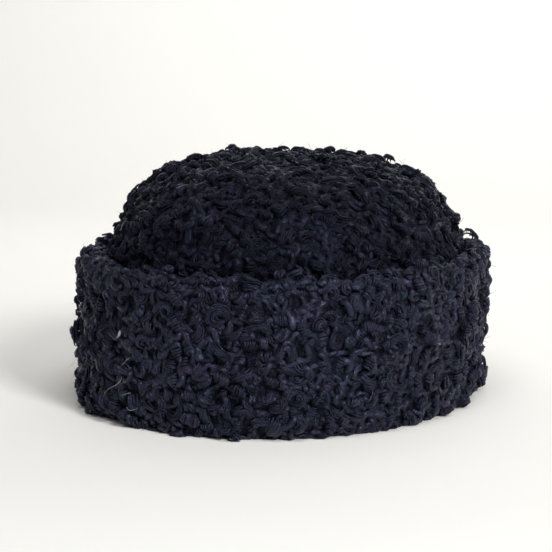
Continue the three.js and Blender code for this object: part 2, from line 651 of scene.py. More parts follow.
SHADED_CROWN_WOOL = WoolFinish(
    name="crown_wool",
    deep=(0.0009, 0.0010, 0.0026),
    violet=(0.0078, 0.0046, 0.0130),
    slate=(0.0024, 0.0058, 0.0100),
    shine=0.26,
)
CUFF_WOOL = WoolFinish(
    name="cuff_wool",
    deep=(0.0010, 0.0011, 0.0030),
    violet=(0.0112, 0.0062, 0.0190),
    slate=(0.0026, 0.0086, 0.0140),
    shine=0.62,
)
PALE_HAIR = WoolFinish(
    name="pale_hair", deep=(0.14, 0.13, 0.13), violet=(0.46, 0.42, 0.43), slate=(0.42, 0.41, 0.40), shine=0.5
)
# The skin finishes' deep colours are painted shade in the hollows of their nap
SHORT_WOOL = SkinFinish(
    name="short_wool", deep=(0.0006, 0.0006, 0.0010), pale=(0.0050, 0.0050, 0.0085), sheen=0.0, whorls=0.8
)
BLACK_SUEDE = SkinFinish(
    name="black_suede", deep=(0.012, 0.012, 0.014), pale=(0.030, 0.030, 0.033), sheen=0.2, whorls=0.0
)


# Locks of wool


class Curl(Enum):
    """The ways in which a lock of wool curls."""

    RING = "a hook or ring that lies flat on the skin"
    ROLL = "a short roll, like a bean, with its axis along the skin"
    WAVE = "a loose wave along the skin"
    FAN = "a fan of hairs from a narrow root"
    STRAY = "a single hair that stands out of the pile"


@dataclass(frozen=True)
class Strokes:
    """Some locks of one kind on a flat skin, while their strands are drawn. +Z is outwards.

    The arrays multiply as locks by strands by steps. Lengths are in metres. Each way to curl has a method.

    Attributes:
        rng: The source of random numbers.
        depth: How deep the pile is.
        t: How far along its strand each point is, from 0 to 1.
        across: Where each strand lies across its lock, from -1 to 1.
        half: Half the width of each lock.
        radius: Of its bend.
        turns: How far round it goes.
        length: From end to end, where it isn't bent round.
        phase: Where its bend starts, in radians.
        top: How high its top lies.
    """

    # How round a lock is in section, from 0 for flat to 1
    ROUNDNESS = 0.9
    # The width of a lock's two ends, as a share of its middle
    NARROWEST = 0.3
    # By what share of its radius a ring closes in, where on its way it is highest, and how it slopes
    RING_CLOSING = (0.1, 0.5)
    RING_PEAK = (0.35, 0.6)
    RING_SLOPE = (0.0, 0.1)
    # How late a ring's ends dive into the pile, and how far along that dive its far end is
    RING_DIVE = 2.4
    RING_LANDING = 0.7
    # How far before its top a roll starts, in radians, and how it narrows towards its two ends
    ROLL_START = 2.0
    ROLL_NARROWING = 0.6
    # By what share of its radius a roll tightens, and between which two angles
    ROLL_TIGHTENING = 0.4
    ROLL_TIGHTENS = (0.6, 5.0)
    # How askew a roll winds, as a share of its radius, and how it bows, as a share of half its width
    ROLL_SKEW = (-0.5, 0.5)
    ROLL_BOW = (-0.2, 0.2)
    # The width of a fan's root and what it gains from there, as shares of its usual width
    FAN_ROOT = 0.25
    FAN_SPREAD = 0.85
    # How far a fan bends to one side, as a share of its radius
    FAN_BEND = (0.1, 0.9)

    rng: np.random.Generator
    depth: float
    t: Array
    across: Array
    half: Array
    radius: Array
    turns: Array
    length: Array
    phase: Array
    top: Array

    def pick(self, pair: Range) -> Array:
        """Choose a number between two for each lock."""
        return self.rng.uniform(*pair, self.half.shape)

    def rounding(self) -> Array:
        """Return how far the strands at a lock's edges lie under the one in its middle."""
        return self.half * (1.0 - np.sqrt(1.0 - self.ROUNDNESS * self.across**2))

    def offset(self) -> Array:
        """Return how far each strand lies beside its lock's middle line, least at both ends."""
        bulge = np.sin(math.pi * np.clip(self.t, 0.01, 0.99)) ** 0.6
        return self.across * self.half * (self.NARROWEST + (1.0 - self.NARROWEST) * bulge)

    def dive(self, fall: Array) -> Array:
        """Return how far under its top each point lies, where fall goes from 0 to 1 at the skin."""
        return (self.depth + self.top) * fall

    def ring(self) -> Coordinates:
        """Draw hooks and rings that close in, with a tilt of their own and both ends deep in the pile.

        Returns:
            The coordinates of the strands' points.
        """
        closing = self.pick(self.RING_CLOSING)
        reach = self.radius * (1.0 - closing * self.t) + self.offset()
        angle = self.phase + self.turns * CIRCLE * self.t
        x = reach * np.cos(angle)
        y = reach * np.sin(angle)
        peak = self.pick(self.RING_PEAK)
        landing = self.RING_LANDING * (self.t - peak) / (1.0 - peak)
        fall = np.where(self.t < peak, (peak - self.t) / peak, landing)
        way = self.pick((0.0, CIRCLE))
        slope = self.pick(self.RING_SLOPE)
        tilt = slope * (x * np.cos(way) + y * np.sin(way) - self.radius)
        return x, y, self.top + tilt - self.rounding() - self.dive(fall**self.RING_DIVE)

    def roll(self) -> Coordinates:
        """Draw rolls, whose strands wind up side by side round an axis that lies in the pile.

        Returns:
            The coordinates of the strands' points.
        """
        angle = -self.ROLL_START + (self.ROLL_START + self.turns * CIRCLE) * self.t
        drum = self.radius * np.sqrt(1.0 - self.ROLL_NARROWING * self.across**2)
        reach = drum * (1.0 - self.ROLL_TIGHTENING * ramp(angle, *self.ROLL_TIGHTENS))
        skew = self.pick(self.ROLL_SKEW) * self.radius
        bow = self.pick(self.ROLL_BOW) * self.half
        x = reach * np.sin(angle) + bow * self.across**2
        y = self.across * self.half + skew * angle * 0.35
        return x, y, self.top + reach * np.cos(angle) - self.radius

    def wave(self) -> Coordinates:
        """Draw waves along the skin, which dive into the pile at both ends.

        Returns:
            The coordinates of the strands' points.
        """
        x = self.length * (self.t - 0.5)
        y = self.radius * np.sin(CIRCLE * self.turns * self.t + self.phase) + self.offset()
        fall = np.abs(2.0 * self.t - 1.0) ** 3.0
        return x, y, self.top - self.rounding() - self.dive(fall)

    def fan(self) -> Coordinates:
        """Draw fans, whose strands spread out from the root and bend to one side.

        Returns:
            The coordinates of the strands' points.
        """
        bend = self.pick(self.FAN_BEND) * self.radius
        spread = self.across * self.half * (self.FAN_ROOT + self.FAN_SPREAD * self.t**0.8)
        x = self.length * (self.t - 0.5) - self.radius * 0.4 * self.across**2 * self.t
        fall = (1.0 - self.t) ** 4 + 0.6 * self.t**7
        z = self.top - self.rounding() * (1.0 - 0.5 * self.t) - self.dive(fall)
        return x, spread + bend * self.t**2, z

    def stray(self) -> Coordinates:
        """Draw single hairs that rise out of the pile in a bend.

        Returns:
            The coordinates of the strands' points.
        """
        angle = self.phase + self.turns * CIRCLE * self.t
        x = self.radius * (np.cos(angle) - np.cos(self.phase))
        y = self.radius * (np.sin(angle) - np.sin(self.phase))
        return x, y, (self.length + self.depth) * self.t**1.2 - self.depth


@dataclass(frozen=True)
class Lock:
    """How locks of one kind look. Lengths are in millimetres, and each pair is the least and the most.

    Attributes:
        curl: How they curl.
        share: How much of their layer they are.
        strands: How many strands lie side by side in a lock.
        width: Across all of a lock's strands, or along the axis of a roll.
        radius: Of the bend at the middle of the lock. For a wave it is how far the wave swings.
        turns: How far round it goes, in whole turns or waves.
        length: From end to end, for a lock that isn't bent round.
    """

    # The width of a strand, as a share of its distance from the next one
    OVERLAP = 1.3
    # How far the tops of locks lie under the pile's own top, in millimetres
    TOPS = (-1.7, 1.5)
    # Where strands start and end, as shares of their whole path
    STARTS = (0.0, 0.08)
    ENDS = (0.86, 1.0)
    # How a strand's width differs from its usual one, as a factor
    WIDTHS = (0.75, 1.3)
    # How far a strand strays from its path, as a share of half its width, and how often on its way
    DRIFT = 0.28
    DRIFTS = 1.3

    curl: Curl
    share: float
    strands: int
    width: Range
    radius: Range
    turns: Range = (0.0, 0.0)
    length: Range = (0.0, 0.0)

    def paths(self, count: int, steps: int, depth: float, rng: np.random.Generator) -> tuple[Array, Array]:
        """Draw the strands of some locks, each lock round its own origin on a flat skin, +Z outwards.

        Args:
            count: How many locks.
            steps: How many points each strand has.
            depth: How deep the pile is, in metres.
            rng: The source of random numbers.

        Returns:
            The strands' middle lines, as locks by strands by steps by 3 numbers, and half the width of each
            strand, as locks by strands, both in metres.
        """
        lone = self.strands == 1
        across = np.zeros(1) if lone else np.linspace(-1.0, 1.0, self.strands)
        each = (count, self.strands, 1)
        first = rng.uniform(*self.STARTS, each)
        last = rng.uniform(*self.ENDS, each)
        t = first + (last - first) * np.linspace(0.0, 1.0, steps)
        pairs = self.width, self.radius, self.turns, self.length, (0.0, CIRCLE)
        width, radius, turns, length, phase = (rng.uniform(*pair, (count, 1, 1)) for pair in pairs)
        hand = rng.choice([-1.0, 1.0], (count, 1, 1))
        half = width * MM / 2
        strand = half if lone else half * self.OVERLAP / (self.strands - 1)
        top = -strand - rng.uniform(*self.TOPS, (count, 1, 1)) * MM
        strokes = Strokes(
            rng, depth, t, across[None, :, None], half, radius * MM, turns, length * MM, phase, top
        )
        draw = {
            Curl.RING: strokes.ring,
            Curl.ROLL: strokes.roll,
            Curl.WAVE: strokes.wave,
            Curl.FAN: strokes.fan,
            Curl.STRAY: strokes.stray,
        }
        x, y, z = draw[self.curl]()
        drift = self.DRIFT * strand * np.sin(CIRCLE * (self.DRIFTS * t + rng.random(each)))
        path = np.stack(np.broadcast_arrays(x + drift, (y + drift) * hand, z + 0.8 * drift), axis=-1)
        return path, (strand * rng.uniform(*self.WIDTHS, each))[:, :, 0]


@dataclass(frozen=True)
class StrandForm:
    """How the tube of a strand is made.

    Attributes:
        steps: How many points its middle line has.
        sides: How many points each ring round it has.
        flatness: Its thickness as a share of its width.
        blunt: The width of its tip as a share of its middle.
        root: The width of its root as a share of its middle.
        wobble: How much its width varies along it, as a share.
        wobbles: How often it does.
        twist: The most that it twists along its way, in radians.
    """

    steps: int
    sides: int
    flatness: float = 0.85
    blunt: float = 0.4
    root: float = 0.6
    wobble: float = 0.1
    wobbles: float = 2.3
    twist: float = 1.2


@dataclass(frozen=True)
class Layer:
    """One layer of the pile.

    Attributes:
        name: A word for its pieces' names.
        locks: The kinds of lock in it.
        form: How its strands are made.
        spacing: The least distance between the middles of two locks, in metres.
        sink: How far its tops lie below the pile's level, in metres.
        sectors: How many pieces it is divided into, round the hat.
        tones: The tones of its darkest and its palest lock, from 0 to 1.
    """

    name: str
    locks: tuple[Lock, ...]
    form: StrandForm
    spacing: float
    sink: float = 0.0
    sectors: int = 1
    tones: Range = (0.0, 1.0)


DEEP_LOCKS = Layer(
    name="deep_locks",
    locks=(
        Lock(Curl.RING, 0.5, 1, width=(2.8, 4.0), radius=(2.2, 3.8), turns=(0.6, 1.1)),
        Lock(Curl.WAVE, 0.5, 1, width=(2.8, 4.2), radius=(0.8, 1.8), turns=(0.7, 1.4), length=(9.0, 15.0)),
    ),
    form=StrandForm(steps=8, sides=5),
    spacing=4.5 * MM,
    sink=2.4 * MM,
    sectors=2,
    # Painted shade: the deep locks, which lie under the curls, take only the darker tones
    tones=(0.0, 0.4),
)
CURLS = Layer(
    name="curls",
    locks=(
        Lock(Curl.RING, 0.24, 4, width=(2.6, 3.6), radius=(1.9, 3.2), turns=(0.55, 1.15)),
        Lock(Curl.RING, 0.10, 6, width=(3.8, 5.2), radius=(3.6, 5.4), turns=(0.55, 1.05)),
        Lock(Curl.ROLL, 0.28, 5, width=(3.2, 5.4), radius=(1.7, 2.5), turns=(0.3, 0.75)),
        Lock(Curl.ROLL, 0.12, 8, width=(6.0, 9.0), radius=(2.4, 3.2), turns=(0.3, 0.7)),
        Lock(Curl.WAVE, 0.14, 4, width=(2.6, 3.6), radius=(0.8, 2.0), turns=(0.6, 1.3), length=(9.0, 15.0)),
        Lock(Curl.FAN, 0.12, 6, width=(4.5, 7.0), radius=(2.5, 5.0), length=(8.0, 12.0)),
    ),
    form=StrandForm(steps=11, sides=3),
    spacing=5.35 * MM,
    sectors=4,
)
STRAY_HAIRS = Layer(
    name="stray_hairs",
    locks=(
        Lock(Curl.STRAY, 1.0, 1, width=(0.14, 0.22), radius=(1.5, 5.0), turns=(0.2, 0.6), length=(1.5, 4.0)),
    ),
    form=StrandForm(steps=8, sides=3),
    spacing=9.0 * MM,
)


@dataclass(frozen=True)
class Pile:
    """The curled pile that covers a skin, from its deep locks to its stray hairs. Lengths are in metres.

    Attributes:
        layers: Its layers, from the skin out.
        depth: How deep it is, from the CAD surface down to the skin that it grows on.
        ground: The lowest that a lock may reach.
        foot: Below this height the pile grows more outwards than down.
        clump: How far apart the clumps of curls are.
        parting: How deep the pile sinks between clumps.
        parting_edge: How far into a clump its parting reaches, as a share of the clump.
        rise: How far it stands above the CAD surface in a clump.
        wave: How far apart its broad swells are.
        swell: How far they rise and sink.
        swirl: Over this distance the locks' headings change by about a radian or two.
        unruliness: How far a lock's heading is from its neighbours', in radians.
    """

    layers: tuple[Layer, ...] = (DEEP_LOCKS, CURLS, STRAY_HAIRS)
    depth: float = 4.4 * MM
    ground: float = 0.15 * MM
    foot: float = 8 * MM
    clump: float = 13 * MM
    parting: float = 3.0 * MM
    parting_edge: float = 0.45
    rise: float = 0.9 * MM
    wave: float = 17 * MM
    swell: float = 2.4 * MM
    swirl: float = 60 * MM
    unruliness: float = 0.7

    def levels(self, places: Array) -> Array:
        """Work out how high the pile stands, with its clumps, the partings between them and its swells.

        Args:
            places: One row for each place on the CAD surface.

        Returns:
            The pile's height over that surface at each place, less than 0 where it sinks.
        """
        vectors = [Vector(place) for place in places.tolist()]
        nearest = (noise.voronoi(vector / self.clump)[0] for vector in vectors)
        edges = np.array([distances[1] - distances[0] for distances in nearest])
        waves = np.array([noise.noise(vector / self.wave) for vector in vectors])
        return self.rise + self.swell * waves - self.parting * (1.0 - ramp(edges, 0.0, self.parting_edge))

    def headings(self, places: Array, rng: np.random.Generator) -> Array:
        """Choose which way locks point, so that neighbours point much the same way.

        Args:
            places: One row for the root of each lock.
            rng: The source of random numbers.

        Returns:
            The angle of each lock from the level, in radians.
        """
        x, y, z = (places / self.swirl).T
        # Two waves that cross, so that the headings don't repeat over the hat
        swirls = 2.6 * np.sin(2.1 * x + 1.3 * z + 0.7) + 2.2 * np.sin(1.7 * y - 2.4 * z + 2.0)
        return swirls + rng.normal(0.0, self.unruliness, len(places))

    def grow(
        self, skin: Skin, layer: Layer, rooted: Callable[[Array], Array], rng: np.random.Generator
    ) -> "Strands":
        """Grow one layer on a skin.

        Args:
            skin: The CAD surface, near which the tops of the locks lie.
            layer: The layer.
            rooted: Says of each place whether a lock may have its root there.
            rng: The source of random numbers.

        Returns:
            Its strands, as arrays.
        """
        roots, normals = skin.scatter(layer.spacing, rng)
        wanted = rooted(roots)
        roots = roots[wanted]
        normals = normals[wanted]
        levels = self.levels(roots)
        headings = self.headings(roots, rng)
        shares = np.cumsum([lock.share for lock in layer.locks])
        kinds = np.searchsorted(shares / shares[-1], rng.random(len(roots)))
        steps = layer.form.steps
        grown: list[Strands] = []
        for number, lock in enumerate(layer.locks):
            own = kinds == number
            count = int(own.sum())
            paths, halves = lock.paths(count, steps, self.depth, rng)
            paths[..., 2] = np.maximum(paths[..., 2] + levels[own, None, None] - layer.sink, -self.depth)
            laid = skin.lay(roots[own], normals[own], headings[own], paths)
            places, outward = (rows.reshape(-1, steps, 3) for rows in laid)
            tones = np.repeat(rng.uniform(*layer.tones, count), lock.strands)
            grown.append(Strands.tubes(places, outward, halves.ravel(), tones, layer.form, rng))
        strands = Strands.joined(grown)
        strands.lift(self.ground)
        return strands


@dataclass(frozen=True)
class StrandFaces:
    """The faces of one strand: quads between its rings, and triangles to its two tips.

    Attributes:
        corners: The point number of each corner.
        starts: The first corner of each face.
        rings: The ring that each corner is on. The root's tip is 0.
        turns: How far round its ring each corner is, from 0 to 1.
    """

    corners: Array
    starts: Array
    rings: Array
    turns: Array

    @classmethod
    def between(cls, steps: int, sides: int) -> "StrandFaces":
        """Number the faces of a strand whose two tips come after its rings.

        Args:
            steps: How many rings it has.
            sides: How many points each ring has.

        Returns:
            Its faces.
        """
        grid = np.meshgrid(np.arange(1, steps), np.arange(sides), indexing="ij")
        ring, side = (numbers.ravel() for numbers in grid)
        quads = np.array([[ring, side], [ring, side + 1], [ring + 1, side + 1], [ring + 1, side]])
        around = np.arange(sides)
        zero = np.zeros_like(around)
        foot = np.array([[zero + 1, around + 1], [zero + 1, around], [zero, zero]])
        head = np.array([[zero + steps, around], [zero + steps, around + 1], [zero + steps + 1, zero + 1]])
        pairs = [faces.transpose(2, 0, 1).reshape(-1, 2) for faces in (quads, foot, head)]
        rings, places = np.concatenate(pairs).T
        corners = (rings - 1) * sides + places % sides
        corners[rings == 0] = steps * sides
        corners[rings > steps] = steps * sides + 1
        starts = np.concatenate([np.arange(len(ring)) * 4, len(ring) * 4 + np.arange(2 * sides) * 3])
        return cls(corners, starts, rings, places / sides)


@dataclass
class Strands:
    """Strands of wool as arrays, one row for each.

    Attributes:
        rings: The points of each strand, ring by ring.
        tips: The two end points of each strand.
        lengths: How far along its strand each ring is, in metres.
        tones: A number from 0 to 1 for each strand.
    """

    # The names of the map that draws hairs, the map for baking, and the tones
    HAIR_MAP = "strands"
    BAKE_MAP = "OFBake"
    TONE = "tone"
    # How far apart two strands lie in the hairs' pattern, in millimetres
    APART = 97.0
    # The empty edge of each strand's cell in the map for baking, as a share of the cell
    EDGE = 0.06

    rings: Array
    tips: Array
    lengths: Array
    tones: Array

    @classmethod
    def tubes(
        cls,
        places: Array,
        outward: Array,
        halves: Array,
        tones: Array,
        form: StrandForm,
        rng: np.random.Generator,
    ) -> "Strands":
        """Make a tapered tube along each middle line.

        Args:
            places: The middle lines.
            outward: The skin's unit normals at their points.
            halves: Half the width of each strand.
            tones: The tone of each strand.
            form: How a tube is made.
            rng: The source of random numbers.

        Returns:
            The strands.
        """
        count, steps = places.shape[:2]
        tangents = unit(np.gradient(places, axis=1))
        side = unit(np.cross(tangents[:, 0], outward[:, 0]))
        sides = np.empty_like(places)
        for step in range(steps):
            side = unit(side - along(side, tangents[:, step])[:, None] * tangents[:, step])
            sides[:, step] = side
        uprights = np.cross(sides, tangents)
        t = np.linspace(0.0, 1.0, steps)
        root = form.root + (1.0 - form.root) * ramp(t, 0.0, 0.2)
        tip = 1.0 - (1.0 - form.blunt) * ramp(t, 0.6, 1.0)
        wobble = 1.0 + form.wobble * np.sin(CIRCLE * (t * form.wobbles + rng.random((count, 1))))
        size = halves[:, None] * root * tip * wobble
        turn = CIRCLE * np.arange(form.sides) / form.sides
        twist = rng.uniform(-form.twist, form.twist, (count, 1)) * t + rng.uniform(0.0, CIRCLE, (count, 1))
        around = turn[None, None, :] + twist[..., None]
        wide = (size[..., None] * np.cos(around))[..., None] * sides[:, :, None]
        high = (size[..., None] * form.flatness * np.sin(around))[..., None] * uprights[:, :, None]
        rings = places[:, :, None] + wide + high
        runs = np.linalg.norm(np.diff(places, axis=1), axis=2)
        lengths = np.concatenate([np.zeros((count, 1)), np.cumsum(runs, axis=1)], axis=1)
        return cls(rings[:, 1:-1], places[:, [0, -1]], lengths, tones)

    @classmethod
    def joined(cls, parts: list["Strands"]) -> "Strands":
        """Put the strands of several parts together.

        Args:
            parts: The parts, whose strands all have as many points.

        Returns:
            All their strands.
        """
        return cls(
            np.concatenate([part.rings for part in parts]),
            np.concatenate([part.tips for part in parts]),
            np.concatenate([part.lengths for part in parts]),
            np.concatenate([part.tones for part in parts]),
        )

    def lift(self, ground: float) -> None:
        """Bring every point that is under the ground up to it."""
        np.maximum(self.rings[..., 2], ground, out=self.rings[..., 2])
        np.maximum(self.tips[..., 2], ground, out=self.tips[..., 2])

    def chosen(self, wanted: Array) -> "Strands":
        """Return the strands for which wanted is true."""
        return Strands(self.rings[wanted], self.tips[wanted], self.lengths[wanted], self.tones[wanted])

    def sectors(self, number: int) -> Array:
        """Return the sector that each strand is in, of so many round the hat from its front."""
        x, y, _ = self.rings.mean(axis=(1, 2)).T
        return np.round(np.arctan2(x, -y) / CIRCLE * number).astype(int) % number

    def piece(self, name: str, material: bpy.types.Material) -> bpy.types.Object:
        """Make one object of all the strands.

        Args:
            name: The object's name.
            material: Its material.

        Returns:
            The object.
        """
        count, steps, sides = self.rings.shape[:3]
        each = steps * sides + 2
        points = np.concatenate([self.rings.reshape(count, -1, 3), self.tips], axis=1).reshape(-1, 3)
        faces = StrandFaces.between(steps, sides)
        number = np.arange(count)[:, None]
        corners = faces.corners + number * each
        starts = faces.starts + number * len(faces.corners)
        mesh = bpy.data.meshes.new(name)
        mesh.vertices.add(len(points))
        mesh.vertices.foreach_set("co", points.ravel())
        mesh.loops.add(corners.size)
        mesh.loops.foreach_set("vertex_index", corners.astype(np.int32).ravel())
        mesh.polygons.add(starts.size)
        mesh.polygons.foreach_set("loop_start", starts.astype(np.int32).ravel())
        mesh.polygons.foreach_set("use_smooth", np.ones(starts.size, dtype=bool))
        mesh.update(calc_edges=True)
        self.add_maps(mesh, faces)
        tone = mesh.attributes.new(self.TONE, "FLOAT", "POINT")
        tone.data.foreach_set("value", np.repeat(self.tones, each).astype(np.float32))
        mesh.materials.append(material)
        return placed(name, mesh)

    def add_maps(self, mesh: bpy.types.Mesh, faces: StrandFaces) -> None:
        """Give the mesh its two maps.

        The first holds millimetres along the strand and turns round it, which draw the strand's hairs. The
        second gives each strand a cell of its own in a square, for baking.

        Args:
            mesh: The mesh of all the strands.
            faces: The faces of one strand.
        """
        count, steps = self.lengths.shape
        number = np.arange(count)[:, None]
        turns = np.broadcast_to(faces.turns, (count, len(faces.turns)))
        hairs = np.stack([self.lengths[:, faces.rings] / MM + number * self.APART, turns], axis=-1)
        inner = 1.0 - 2.0 * self.EDGE
        cells = math.ceil(math.sqrt(count))
        column = number % cells + self.EDGE + inner * np.broadcast_to(faces.rings / (steps - 1), turns.shape)
        row = number // cells + self.EDGE + inner * turns
        bake = np.stack([column, row], axis=-1) / cells
        for label, places in ((self.HAIR_MAP, hairs), (self.BAKE_MAP, bake)):
            layer = mesh.uv_layers.new(name=label)
            layer.data.foreach_set("uv", places.astype(np.float32).ravel())


# The two pieces of the hat


@dataclass(frozen=True)
class PaleHair:
    """A pale hair caught on the wool, as a smooth line through a few knots. Lengths are in millimetres.

    Attributes:
        turns: How far round the hat each knot is, in degrees from the front towards +X.
        heights: How high each knot is.
        width: How thick the hair is.
    """

    turns: tuple[float, ...]
    heights: tuple[float, ...]
    width: float = 0.3

    def line(self, half: Array, steps: int) -> Array:
        """Draw the hair on an upright oval wall.

        Args:
            half: The oval's half sizes, in metres.
            steps: How many points the line has.

        Returns:
            Its points, in metres.
        """
        knots = np.linspace(0.0, 1.0, len(self.turns))
        t = np.linspace(0.0, 1.0, steps)
        turn, height = (
            np.polyval(np.polyfit(knots, values, len(knots) - 1), t) for values in (self.turns, self.heights)
        )
        turn = np.radians(turn)
        return np.column_stack([half[0] * np.sin(turn), -half[1] * np.cos(turn), height * MM])


@dataclass
class CurledPiece:
    """One CAD node, dressed as a skin with a curled pile. Lengths are in metres.

    Attributes:
        node: The CAD node's name.
        slot: The record's material slot, which is not used.
        fill: How tightly its wadding fills it, from 0 to 1, which is not used.
        wool: The finish of its locks.
        short_wool: The finish of the skin under them.
        suede: The finish of the skin's plain side.
        pile: The pile.
        pile_end: The height at which the pile ends, between the crown and the cuff.
        pile_fade: Over so much height under that, the skin rises to the CAD surface.
        knot_size: How far apart the knots of short wool on the skin are.
        knot_relief: How far they stand out, as a share of the pile's depth.
        deepest: The furthest that the skin lies under the CAD surface.
        pieces: What has been built.
    """

    node: str
    slot: str
    fill: float
    wool: WoolFinish
    short_wool: SkinFinish = SHORT_WOOL
    suede: SkinFinish = BLACK_SUEDE
    pile: Pile = field(default_factory=Pile)
    pile_end: float = 70 * MM
    pile_fade: float = 2 * MM
    knot_size: float = 3.5 * MM
    knot_relief: float = 0.35
    deepest: float = 5.2 * MM
    pieces: list[bpy.types.Object] = field(default_factory=list)

    def furred(self, skin: Skin) -> Array:
        """Say which faces of the node carry pile that can be seen. Each kind of piece answers for itself."""
        raise NotImplementedError

    def bare(self, skin: Skin) -> Array:
        """Say which faces of the node are the skin's plain side. Each kind of piece answers for itself."""
        raise NotImplementedError

    def sunk(self, skin: Skin) -> Array:
        """Say how far each vertex of the skin lies under the pile's top, as a share of the pile's depth."""
        raise NotImplementedError

    def bordering(self, skin: Skin) -> Array:
        """Say which plain faces of the node the edge of the pile covers: none, unless a kind says more."""
        return np.zeros(len(skin.faces), dtype=bool)

    def rooted(self, places: Array) -> Array:
        """Say at which places locks have their roots: everywhere, unless a kind says less."""
        return np.ones(len(places), dtype=bool)

    def build(self, effects: Effects, seed: int) -> None:
        """Build the skin and its pile.

        Args:
            effects: The shader groups.
            seed: The seed of the random numbers.
        """
        whole = Skin.of_node(self.node)
        self.keep(self.skin_piece(whole, effects))
        rng = np.random.default_rng(seed)
        material = self.wool.material(effects)
        under = whole.part(self.furred(whole) | self.bordering(whole))
        under.turn_level(self.pile.foot)
        for layer in self.pile.layers:
            strands = self.pile.grow(under, layer, self.rooted, rng)
            sectors = strands.sectors(layer.sectors)
            for number in range(layer.sectors):
                own = strands.chosen(sectors == number)
                self.keep(own.piece(f"{self.node}_{layer.name}_{number + 1}", material))

    def keep(self, piece: bpy.types.Object) -> None:
        """Declare a new piece, which stays where it is, and add it to the rest.

        Args:
            piece: The piece.
        """
        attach(piece, "root")
        self.pieces.append(piece)

    def skin_piece(self, whole: Skin, effects: Effects) -> bpy.types.Object:
        """Make the skin itself, which stands for the CAD node.

        Args:
            whole: The node's surface.
            effects: The shader groups.

        Returns:
            The object.
        """
        fine = whole.divided()
        fine.turn_level(self.pile.foot)
        knots = np.array([noise.noise(Vector(point) / self.knot_size) for point in fine.points.tolist()])
        depth = self.pile.depth * (1.0 + self.knot_relief * knots) - self.pile.levels(fine.points)
        depth = np.clip(self.sunk(fine) * depth, 0.0, self.deepest)
        points = fine.points - fine.normals * depth[:, None]
        name = f"{self.node}_skin"
        mesh = bpy.data.meshes.new(name)
        mesh.from_pydata(points.tolist(), [], fine.faces.tolist())
        mesh.materials.append(self.short_wool.material(effects))
        mesh.materials.append(self.suede.material(effects))
        mesh.polygons.foreach_set("material_index", np.repeat(self.bare(whole), 4).astype(np.int32))
        mesh.polygons.foreach_set("use_smooth", np.ones(len(fine.faces), dtype=bool))
        piece = placed(name, mesh)
        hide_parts(self.node)
        return piece


@dataclass
class Crown(CurledPiece):
    """The domed crown. Only what stands above the cuff's inner edge is furred."""

    def outside(self, places: Array, normals: Array) -> Array:
        """Say which places on the crown, with these normals, are on the outside of it."""
        return along(places - np.array([0.0, 0.0, self.pile_end / 2]), normals) > 0

    def furred(self, skin: Skin) -> Array:
        """Return true for the faces outside the dome and above the cuff's inner edge."""
        middles, normals = skin.centres()
        return self.outside(middles, normals) & (middles[:, 2] > self.pile_end)

    def bare(self, skin: Skin) -> Array:
        """Return true for the inside of the crown."""
        return ~self.outside(*skin.centres())

    def sunk(self, skin: Skin) -> Array:
        """Sink the outside of the dome, and nothing else."""
        high = ramp(skin.points[:, 2], self.pile_end - self.pile_fade, self.pile_end)
        return self.outside(skin.points, skin.normals) * high


